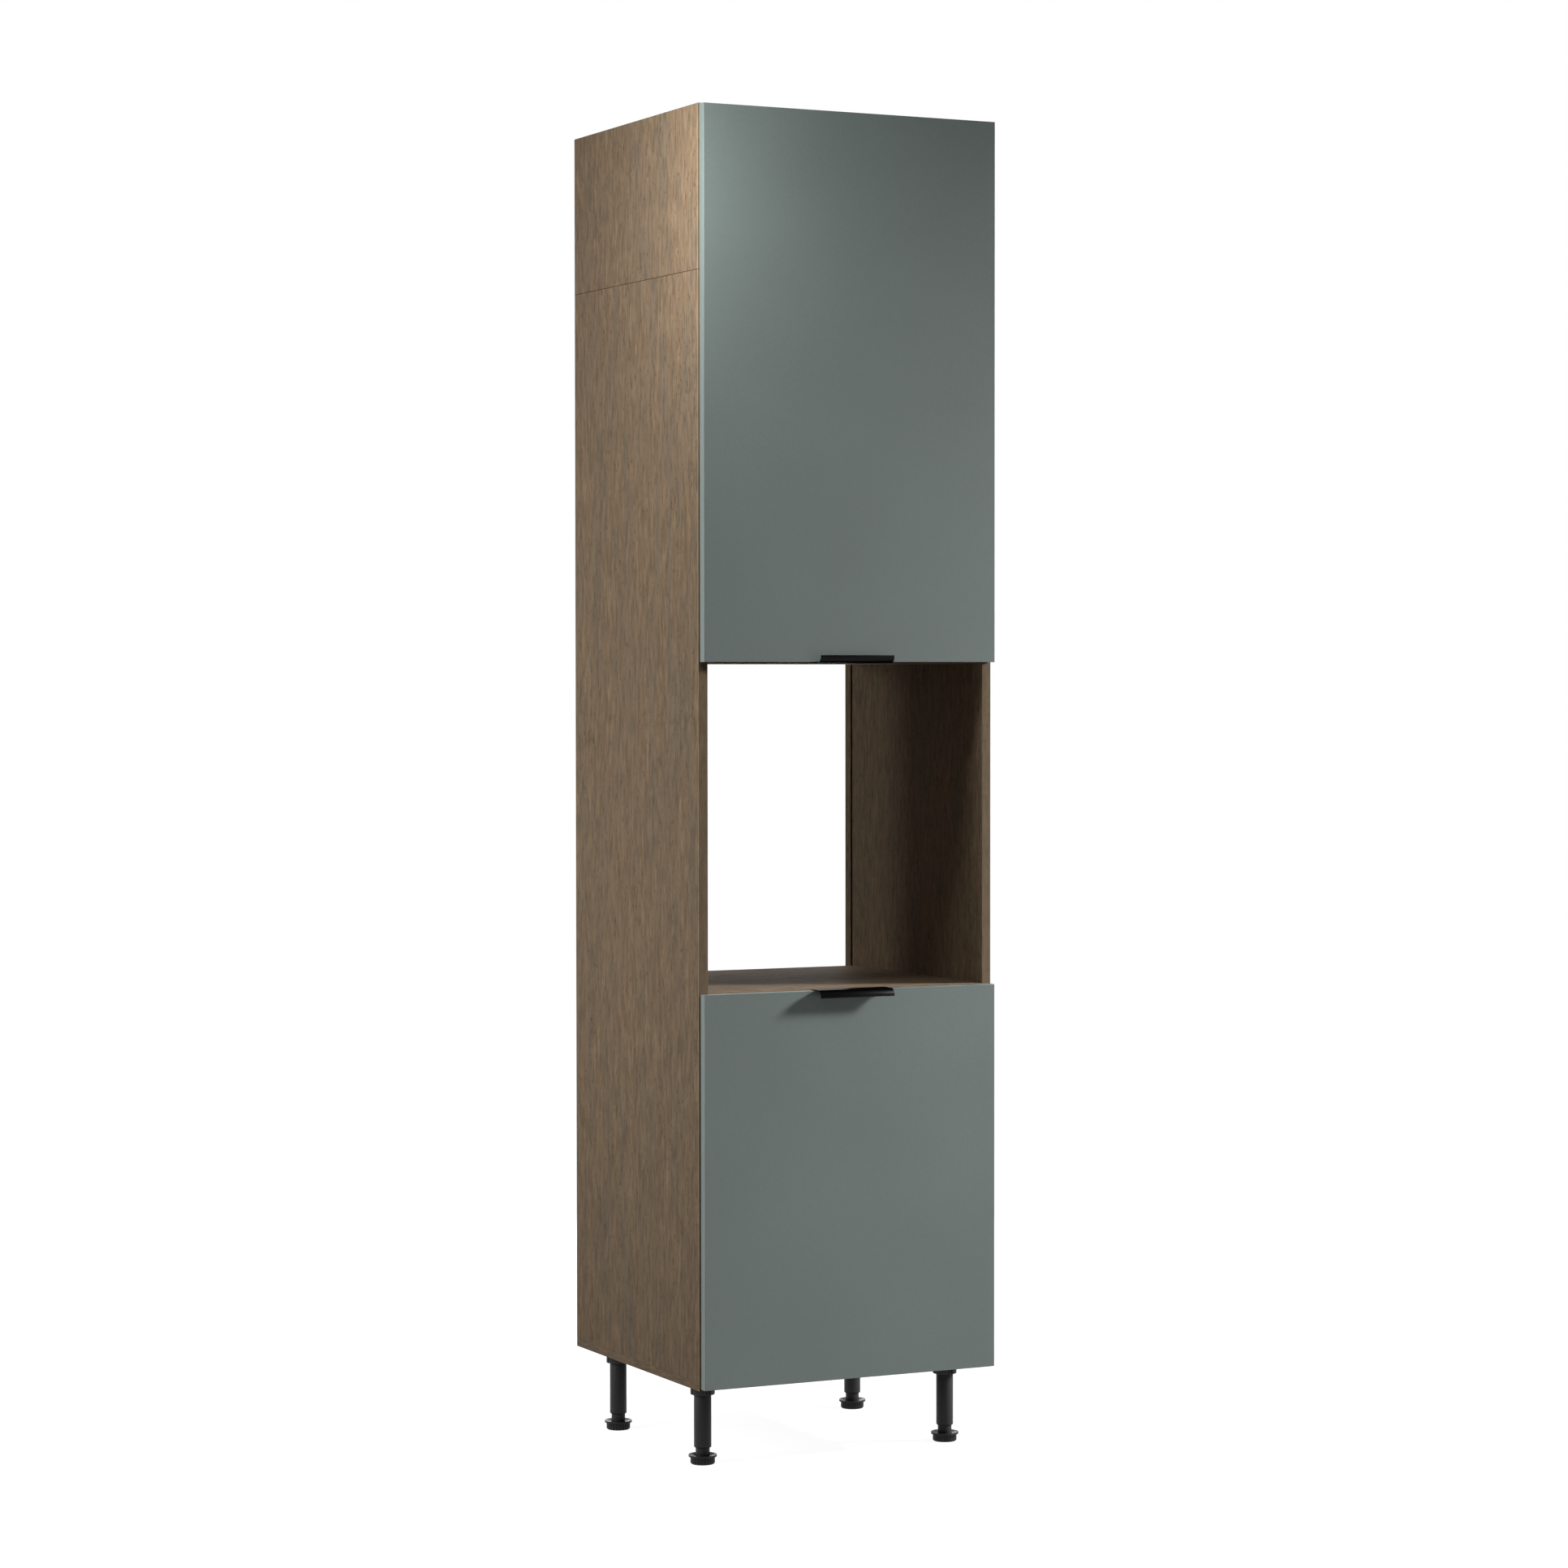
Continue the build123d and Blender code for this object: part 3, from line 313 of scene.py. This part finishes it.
def plated_metal(name, dark, light, roughness, grain_mm, bump_mm):
    """Plated steel or bare casting: metal with a fine cloudy grain from the bath or the mould."""
    material, tree, shader = new_material(name, {"Metallic": 1.0, "Roughness": roughness})
    place = add(tree, "ShaderNodeTexCoord").outputs["Object"]
    cloud_mm = 9 * grain_mm
    cloud = streaks(tree, place, cloud_mm, cloud_mm, 1.0)
    specks = streaks(tree, place, grain_mm, grain_mm, 3.0, 0.6)
    colour = mottled(tree, cloud, specks, 0.5, [(0.3, dark), (0.7, light)])
    tree.links.new(colour, shader.inputs["Base Color"])
    bumped(tree, shader, specks, bump_mm, 0.4)
    return material


def bare_beech(name):
    """Turned beech: pale pink-brown wood with short fine flecks."""
    material, tree, shader = new_material(name, {"Roughness": 0.6, "Specular IOR Level": 0.4})
    place = add(tree, "ShaderNodeTexCoord").outputs["Object"]
    flecks = streaks(tree, place, 0.8, 6.0, 2.0)
    tint = streaks(tree, place, 5.0, 20.0, 1.0)
    colour = mottled(tree, flecks, tint, 0.3, [(0.35, "#B08A5E"), (0.5, "#CDA878"), (0.65, "#D9B88C")])
    tree.links.new(colour, shader.inputs["Base Color"])
    bumped(tree, shader, flecks, 0.03, 0.5)
    return material


def soft_bumper(name):
    """Cast polyurethane dots: clear, soft and a little milky."""
    settings = {"Roughness": 0.3, "Transmission Weight": 0.7, "IOR": 1.48}
    material, tree, shader = new_material(name, settings)
    place = add(tree, "ShaderNodeTexCoord").outputs["Object"]
    haze = streaks(tree, place, 3.0, 3.0, 1.0)
    veins = streaks(tree, place, 0.6, 0.6, 1.0)
    colour = mottled(tree, haze, veins, 0.3, [(0.35, "#D8DBD8"), (0.65, "#EEF0EE")])
    tree.links.new(colour, shader.inputs["Base Color"])
    return material


# Each board is cut from another place of the decor

board_grain = {
    "side_panel_left": "Z",
    "side_panel_right": "Z",
    "side_extension_left": "Z",
    "side_extension_right": "Z",
    "lower_back_panel": "Z",
    "upper_back_panel": "Z",
    "bottom_panel": "X",
    "niche_floor": "X",
    "niche_ceiling": "X",
    "top_panel": "X",
    "lower_shelf": "X",
    "upper_shelf_low": "X",
    "upper_shelf_high": "X",
}
cut_step = (0.317, 0.211, 0.739)
finish = {
    "door_foil": satin_lacquer("satin_grey_green_lacquer"),
    "handle_aluminium": anodised_aluminium("black_anodised_aluminium"),
    "leg_plastic": moulded_plastic("black_moulded_polypropylene", "#232324", "#303031", 0.5, 0.25),
    "cam_zinc": plated_metal("die_cast_zinc", "#8E8F91", "#B4B5B7", 0.42, 0.8, 0.03),
    "beech": bare_beech("turned_beech"),
    "screw_steel": plated_metal("zinc_plated_screw_steel", "#A7A7A2", "#C9C9C4", 0.3, 0.5, 0.01),
    "plate_steel": plated_metal("zinc_plated_sheet_steel", "#A2A4A3", "#BFC1C0", 0.36, 1.2, 0.01),
    "hinge_nickel": plated_metal("nickel_plated_pressed_steel", "#A29E98", "#C6C2BB", 0.24, 0.9, 0.008),
    "bumper_plastic": soft_bumper("clear_polyurethane"),
}
for count, (board, grain) in enumerate(board_grain.items()):
    cut = tuple(count * step for step in cut_step)
    finish[board] = oak_decor(f"oak_decor_{board}", grain, cut)


def finish_of(node):
    """The material of a CAD node: a board has its own cut of the decor."""
    return finish[node] if node in finish else finish[slot_of[node]]


# Pieces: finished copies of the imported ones, with their sharp edges broken as on the real object

weld = 0.002 * mm
flat_turn = math.radians(0.6)
smooth_turn = math.radians(34)
wide_face = 500 * mm * mm


def merged(node):
    """A CAD node's loose triangles as closed surfaces with whole flat faces."""
    mesh = bmesh.new()
    mesh.from_mesh(nodes[node].data)
    bmesh.ops.remove_doubles(mesh, verts=mesh.verts, dist=weld)
    bmesh.ops.dissolve_limit(mesh, angle_limit=flat_turn, verts=mesh.verts, edges=mesh.edges)
    return mesh


def plain_mesh(mesh, name):
    """A worked mesh as plain mesh data."""
    data = bpy.data.meshes.new(name)
    mesh.to_mesh(data)
    mesh.free()
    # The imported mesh's stored directions of shading don't fit the worked one
    if data.has_custom_normals:
        data.attributes.remove(data.attributes["custom_normal"])
    return data


def show(data, name, node):
    """Make a finished mesh the piece that stands for a CAD node."""
    data.materials.clear()
    data.materials.append(finish_of(node))
    data.set_sharp_from_angle(angle=smooth_turn)
    # A flat face keeps its own direction, so that the rounding beside it doesn't tilt its shading
    rounded = [len(face.vertices) <= 4 and face.area < wide_face for face in data.polygons]
    data.polygons.foreach_set("use_smooth", rounded)
    piece = bpy.data.objects.new(name, data)
    bpy.context.scene.collection.objects.link(piece)
    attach(piece, nodes[node]["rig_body"])
    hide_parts(node)
    return piece


def sharp_edges(mesh, least_turn=math.radians(35)):
    """The edges of a mesh where its surface turns a corner outwards."""
    return [
        edge
        for edge in mesh.edges
        if len(edge.link_faces) == 2 and edge.is_convex and edge.calc_face_angle(0) > least_turn
    ]


def outline_edges(mesh, low, high, slack=0.05 * mm):
    """The long outer edges of a board: both ends lie on the same two faces of its box."""
    found = []
    for edge in mesh.edges:
        ends = [vertex.co for vertex in edge.verts]
        faces = sum(
            all(abs(end[axis] - side[axis]) < slack for end in ends)
            for axis in range(3)
            for side in (low, high)
        )
        if faces == 2:
            found.append(edge)
    return found


def break_edges(mesh, edges, width, segments=2):
    """Round the given edges of a mesh."""
    settings = dict(offset_type="OFFSET", affect="EDGES", profile=0.5, clamp_overlap=True)
    bmesh.ops.bevel(mesh, geom=edges, offset=width, segments=segments, **settings)


board_edge = 0.5 * mm
for board in board_grain:
    mesh = merged(board)
    break_edges(mesh, outline_edges(mesh, *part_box(board)), board_edge)
    show(plain_mesh(mesh, f"{board}_banded"), f"{board}_banded", board)

edge_break = {
    "handle_aluminium": 0.2 * mm,
    "leg_plastic": 0.7 * mm,
    "plate_steel": 0.2 * mm,
    "hinge_nickel": 0.15 * mm,
}
screw_nodes = [node for node in slot_of if node.endswith("_screws")]
for node, slot in slot_of.items():
    if node in board_grain or node in screw_nodes:
        continue
    mesh = merged(node)
    if slot in edge_break:
        break_edges(mesh, sharp_edges(mesh), edge_break[slot])
    show(plain_mesh(mesh, f"{node}_finished"), f"{node}_finished", node)

# Screws: cross-recessed countersunk heads and threaded shanks, one drawing for every size

# Shares of the shank's diameter
thread_pitch = 0.4
thread_root = 0.76

# Shares of the head's diameter
recess_span = 0.56
recess_width = 0.15
recess_depth = 0.24

shank_sides = 16
tip_slope = 0.5
tip_radius = 0.2 * mm
end_slack = 5 * weld


def screw_tree():
    """Geometry nodes that stand one screw on each point of a mesh, along the point's own direction. The
    second result gives each named input's identifier."""
    tree = bpy.data.node_groups.new("countersunk_screws", "GeometryNodeTree")
    tree.interface.new_socket("Geometry", in_out="OUTPUT", socket_type="NodeSocketGeometry")
    tree.interface.new_socket("Geometry", in_out="INPUT", socket_type="NodeSocketGeometry")
    sizes = ("Head Diameter", "Shank Diameter", "Length", "Thread Pitch", "Recess Width", "Recess Depth")
    named = {}
    for name in sizes:
        item = tree.interface.new_socket(name, in_out="INPUT", socket_type="NodeSocketFloat")
        named[name] = item.identifier
    item = tree.interface.new_socket("Seed", in_out="INPUT", socket_type="NodeSocketInt")
    named["Seed"] = item.identifier
    item = tree.interface.new_socket("Finish", in_out="INPUT", socket_type="NodeSocketMaterial")
    named["Finish"] = item.identifier
    given = add(tree, "NodeGroupInput").outputs

    # A centre line with two rings of points to each turn of the thread
    tip = add(tree, "ShaderNodeCombineXYZ", None, {"Z": given["Length"]}).outputs[0]
    line = add(tree, "GeometryNodeCurvePrimitiveLine", None, {"Start": (0, 0, 0), "End": tip}).outputs[0]
    inputs = {0: given["Thread Pitch"], 1: 0.5}
    half_pitch = add(tree, "ShaderNodeMath", {"operation": "MULTIPLY"}, inputs).outputs[0]
    inputs = {0: given["Length"], 1: half_pitch}
    rings = add(tree, "ShaderNodeMath", {"operation": "DIVIDE"}, inputs).outputs[0]
    line = add(tree, "GeometryNodeResampleCurve", None, {"Curve": line, "Count": rings}).outputs[0]

    # Its radius: a cone under the head, then crests and roots in turn, then a point
    position = add(tree, "GeometryNodeInputPosition").outputs[0]
    depth = add(tree, "ShaderNodeSeparateXYZ", None, {0: position}).outputs["Z"]
    inputs = {0: given["Shank Diameter"], 1: 0.5}
    crest = add(tree, "ShaderNodeMath", {"operation": "MULTIPLY"}, inputs).outputs[0]
    inputs = {0: crest, 1: thread_root}
    root = add(tree, "ShaderNodeMath", {"operation": "MULTIPLY"}, inputs).outputs[0]
    index = add(tree, "GeometryNodeInputIndex").outputs[0]
    is_crest = add(tree, "ShaderNodeMath", {"operation": "MODULO"}, {0: index, 1: 2.0}).outputs[0]
    thread = add(tree, "ShaderNodeMix", {"data_type": "FLOAT"}, {0: is_crest, 2: root, 3: crest}).outputs[0]
    inputs = {0: given["Head Diameter"], 1: 0.5}
    head_radius = add(tree, "ShaderNodeMath", {"operation": "MULTIPLY"}, inputs).outputs[0]
    cone = add(tree, "ShaderNodeMath", {"operation": "SUBTRACT"}, {0: head_radius, 1: depth}).outputs[0]
    inputs = {0: given["Length"], 1: depth}
    to_tip = add(tree, "ShaderNodeMath", {"operation": "SUBTRACT"}, inputs).outputs[0]
    inputs = {0: to_tip, 1: tip_slope, 2: tip_radius}
    point = add(tree, "ShaderNodeMath", {"operation": "MULTIPLY_ADD"}, inputs).outputs[0]
    widest = add(tree, "ShaderNodeMath", {"operation": "MAXIMUM"}, {0: thread, 1: cone}).outputs[0]
    radius = add(tree, "ShaderNodeMath", {"operation": "MINIMUM"}, {0: widest, 1: point}).outputs[0]
    inputs = {"Resolution": shank_sides, "Radius": 1.0}
    ring = add(tree, "GeometryNodeCurvePrimitiveCircle", None, inputs).outputs[0]
    inputs = {"Curve": line, "Profile Curve": ring, "Scale": radius, "Fill Caps": True}
    body = add(tree, "GeometryNodeCurveToMesh", None, inputs).outputs[0]

    # The cross recess: two crossed bars, sunk by half their height, cut from the head
    inputs = {0: given["Head Diameter"], 1: recess_span}
    arm = add(tree, "ShaderNodeMath", {"operation": "MULTIPLY"}, inputs).outputs[0]
    inputs = {0: given["Recess Depth"], 1: 2.0}
    deep = add(tree, "ShaderNodeMath", {"operation": "MULTIPLY"}, inputs).outputs[0]
    for long_way, wide_way in (("X", "Y"), ("Y", "X")):
        inputs = {long_way: arm, wide_way: given["Recess Width"], "Z": deep}
        bar = add(tree, "ShaderNodeCombineXYZ", None, inputs).outputs[0]
        cutter = add(tree, "GeometryNodeMeshCube", None, {"Size": bar}).outputs[0]
        cut = add(tree, "GeometryNodeMeshBoolean", {"operation": "DIFFERENCE", "solver": "EXACT"})
        tree.links.new(body, cut.inputs["Mesh 1"])
        tree.links.new(cutter, cut.inputs["Mesh 2"])
        body = cut.outputs[0]

    # One on each point, turned as the driver left it
    settings = {"data_type": "FLOAT_VECTOR"}
    heading = add(tree, "GeometryNodeInputNamedAttribute", settings, {"Name": "direction"}).outputs[0]
    settings = {"data_type": "FLOAT"}
    spin = add(tree, "FunctionNodeRandomValue", settings, {2: 0.0, 3: math.pi, "Seed": given["Seed"]})
    turned = add(tree, "FunctionNodeAxisAngleToRotation", None, {"Axis": (0, 0, 1), "Angle": spin.outputs[1]})
    aligned = add(tree, "FunctionNodeAlignRotationToVector", {"axis": "Z"}, {"Vector": heading})
    settings = {"rotation_space": "LOCAL"}
    inputs = {"Rotation": aligned.outputs[0], "Rotate By": turned.outputs[0]}
    rotation = add(tree, "FunctionNodeRotateRotation", settings, inputs).outputs[0]
    inputs = {"Points": given["Geometry"], "Instance": body, "Rotation": rotation}
    placed = add(tree, "GeometryNodeInstanceOnPoints", None, inputs).outputs[0]
    real = add(tree, "GeometryNodeRealizeInstances", None, {"Geometry": placed}).outputs[0]
    inputs = {"Geometry": real, "Material": given["Finish"]}
    finished = add(tree, "GeometryNodeSetMaterial", None, inputs).outputs[0]
    add(tree, "NodeGroupOutput", None, {0: finished})
    return tree, named


def solids(node):
    """The corner points of each separate solid of a CAD node, in the same order on every run."""
    mesh = merged(node)
    left = dict.fromkeys(mesh.verts)
    found = []
    while left:
        vertex, _ = left.popitem()
        reached = [vertex]
        for vertex in reached:
            for edge in vertex.link_edges:
                other = edge.other_vert(vertex)
                if other in left:
                    del left[other]
                    reached.append(other)
        found.append([vertex.co.copy() for vertex in reached])
    mesh.free()
    return found


def screw_seat(points):
    """A screw's head, its direction, and its head diameter, shank diameter and length."""
    low = Vector([min(point[axis] for point in points) for axis in range(3)])
    high = Vector([max(point[axis] for point in points) for axis in range(3)])
    span = high - low
    along = max(range(3), key=lambda axis: span[axis])
    middle = (low + high) / 2
    ends = []
    for level in (low[along], high[along]):
        centre = middle.copy()
        centre[along] = level
        near = [point for point in points if abs(point[along] - level) < end_slack]
        ends.append((max((point - centre).length for point in near), centre))
    (shank, tip), (head, seat) = sorted(ends, key=lambda end: end[0])
    return seat, (tip - seat).normalized(), (2 * head, 2 * shank, span[along])


screw_shapes, screw_input = screw_tree()
for count, node in enumerate(screw_nodes):
    seats = [screw_seat(points) for points in solids(node)]
    head, shank, length = seats[0][2]
    data = bpy.data.meshes.new(f"{node}_seats")
    data.from_pydata([seat for seat, direction, sizes in seats], [], [])
    headings = data.attributes.new("direction", "FLOAT_VECTOR", "POINT")
    headings.data.foreach_set("vector", [share for seat, direction, sizes in seats for share in direction])
    holder = bpy.data.objects.new(f"{node}_seats", data)
    bpy.context.scene.collection.objects.link(holder)
    modifier = holder.modifiers.new("screws", "NODES")
    modifier.node_group = screw_shapes
    chosen = {
        "Head Diameter": head,
        "Shank Diameter": shank,
        "Length": length,
        "Thread Pitch": thread_pitch * shank,
        "Recess Width": recess_width * head,
        "Recess Depth": recess_depth * head,
        "Seed": count,
        "Finish": finish_of(node),
    }
    for name, value in chosen.items():
        modifier[screw_input[name]] = value
    evaluated = holder.evaluated_get(bpy.context.evaluated_depsgraph_get())
    data = bpy.data.meshes.new_from_object(evaluated)
    holder.modifiers.remove(modifier)
    bpy.data.objects.remove(holder)
    show(data, f"{node}_recessed", node)

# Studio: a pale floor and a white background, with soft lamps

floor_half = 12.0
floor_mesh = bpy.data.meshes.new("studio_floor")
floor_corners = [(x * floor_half, y * floor_half, 0) for x, y in ((-1, -1), (1, -1), (1, 1), (-1, 1))]
floor_mesh.from_pydata(floor_corners, [], [(0, 1, 2, 3)])
floor = bpy.data.objects.new("studio_floor", floor_mesh)
bpy.context.scene.collection.objects.link(floor)


def studio_paper(name):
    """Seamless white paper: white to the camera and in gloss, with the object's shadow left faintly on
    it, and a dull grey for the light that it throws back."""
    material = bpy.data.materials.new(name)
    material.use_nodes = True
    tree = material.node_tree
    tree.nodes.clear()
    # Beside the object the glow is a little under white, so that a shadow shows in the lamps' light on
    # it. Farther off the paper is as white as the background
    near = 0.5
    far = 2.5
    near_white = 0.95
    place = add(tree, "ShaderNodeTexCoord").outputs["Object"]
    away = add(tree, "ShaderNodeVectorMath", {"operation": "LENGTH"}, {0: place}).outputs["Value"]
    settings = {"Value": away, "From Min": near, "From Max": far, "To Min": near_white, "To Max": 1.0}
    glow = add(tree, "ShaderNodeMapRange", None, settings).outputs[0]
    white = add(tree, "ShaderNodeEmission", None, {"Color": (1, 1, 1, 1), "Strength": glow})
    paper = add(tree, "ShaderNodeBsdfDiffuse", None, {"Color": linear("#7F7F7F")})
    both = add(tree, "ShaderNodeAddShader", None, {0: white.outputs[0], 1: paper.outputs[0]})
    lit = add(tree, "ShaderNodeBsdfDiffuse", None, {"Color": linear("#6A6A69")})
    ray = add(tree, "ShaderNodeLightPath").outputs
    settings = {0: ray["Is Camera Ray"], 1: ray["Is Glossy Ray"]}
    seen = add(tree, "ShaderNodeMath", {"operation": "MAXIMUM"}, settings).outputs[0]
    settings = {0: seen, 1: ray["Is Transmission Ray"]}
    seen = add(tree, "ShaderNodeMath", {"operation": "MAXIMUM"}, settings).outputs[0]
    mixed = add(tree, "ShaderNodeMixShader", None, {0: seen, 1: lit.outputs[0], 2: both.outputs[0]})
    # From below the paper is clear, so that the object's underside shows
    under = add(tree, "ShaderNodeNewGeometry").outputs["Backfacing"]
    clear = add(tree, "ShaderNodeBsdfTransparent")
    shown = add(tree, "ShaderNodeMixShader", None, {0: under, 1: mixed.outputs[0], 2: clear.outputs[0]})
    add(tree, "ShaderNodeOutputMaterial", None, {"Surface": shown.outputs[0]})
    return material


floor_mesh.materials.append(studio_paper("white_studio_paper"))


def white_studio(name, surround, behind_camera):
    """A white background. Gloss shows it white behind the object and dimmer behind the camera, and the
    even light that it gives is the surround's."""
    world = bpy.data.worlds.new(name)
    world.use_nodes = True
    tree = world.node_tree
    tree.nodes.clear()
    ray = add(tree, "ShaderNodeLightPath").outputs
    heading = add(tree, "ShaderNodeTexCoord").outputs["Generated"]
    rearward = add(tree, "ShaderNodeSeparateXYZ", None, {0: heading}).outputs["Y"]
    # The heading's Y runs from -1, behind the camera, to 1, behind the object
    dim = -0.15
    full = 0.35
    inputs = {"Value": rearward, "From Min": dim, "From Max": full, "To Min": behind_camera, "To Max": 1.0}
    gloss = add(tree, "ShaderNodeMapRange", {"interpolation_type": "SMOOTHSTEP"}, inputs).outputs[0]
    inputs = {0: ray["Is Glossy Ray"], 2: surround, 3: gloss}
    level = add(tree, "ShaderNodeMix", {"data_type": "FLOAT"}, inputs).outputs[0]
    inputs = {0: ray["Is Camera Ray"], 1: ray["Is Transmission Ray"]}
    seen = add(tree, "ShaderNodeMath", {"operation": "MAXIMUM"}, inputs).outputs[0]
    level = add(tree, "ShaderNodeMix", {"data_type": "FLOAT"}, {0: seen, 2: level, 3: 1.0}).outputs[0]
    sky = add(tree, "ShaderNodeBackground", None, {"Color": (1, 1, 1, 1), "Strength": level})
    add(tree, "ShaderNodeOutputWorld", None, {"Surface": sky.outputs[0]})
    return world


bpy.context.scene.world = white_studio("white_studio", surround=0.07, behind_camera=0.22)

# Soft lamps: place, aimed at, width and height, spread in degrees, power in watts
lamps = {
    "key_right": ((4.14, -1.73, 2.84), (-0.24, -0.28, 0.39), (0.75, 0.75), 53, 40.0),
    "top_left": ((-0.73, -0.56, 2.38), (-0.3, -0.26, 2.28), (0.24, 0.24), 180, 7.8),
    "left_low": ((-2.0, -0.1, 1.05), (-0.3, 0.0, 0.95), (0.6, 0.6), 180, 15.0),
    "left_high": ((-2.1, 0.1, 1.7), (-0.3, 0.0, 1.5), (0.7, 0.7), 180, 3.0),
    "left_rear": ((-2.6, 1.2, 1.5), (0.2, 0.1, 1.2), (0.5, 0.7), 180, 16.0),
    "front_low": ((2.0, -2.2, 0.6), (0.0, -0.28, 0.6), (0.8, 0.6), 90, 0.6),
    "right_side": ((2.3, 0.3, 1.5), (0.3, 0.1, 1.3), (0.9, 1.4), 180, 6.0),
    "rear": ((1.0, 3.0, 0.7), (0.0, 0.28, 0.8), (1.4, 1.0), 180, 22.0),
    "overhead": ((0.2, 1.0, 4.0), (0.0, 0.1, 2.47), (0.9, 0.9), 180, 18.0),
}
for name, (place, aim, (width, height), spread, power) in lamps.items():
    lamp = bpy.data.lights.new(name, "AREA")
    lamp.shape = "RECTANGLE"
    lamp.size = width
    lamp.size_y = height
    lamp.spread = math.radians(spread)
    lamp.energy = power
    holder = bpy.data.objects.new(name, lamp)
    direction = Vector(aim) - Vector(place)
    holder.matrix_world = Matrix.Translation(place) @ direction.to_track_quat("-Z", "Y").to_matrix().to_4x4()
    holder.visible_camera = False
    bpy.context.scene.collection.objects.link(holder)
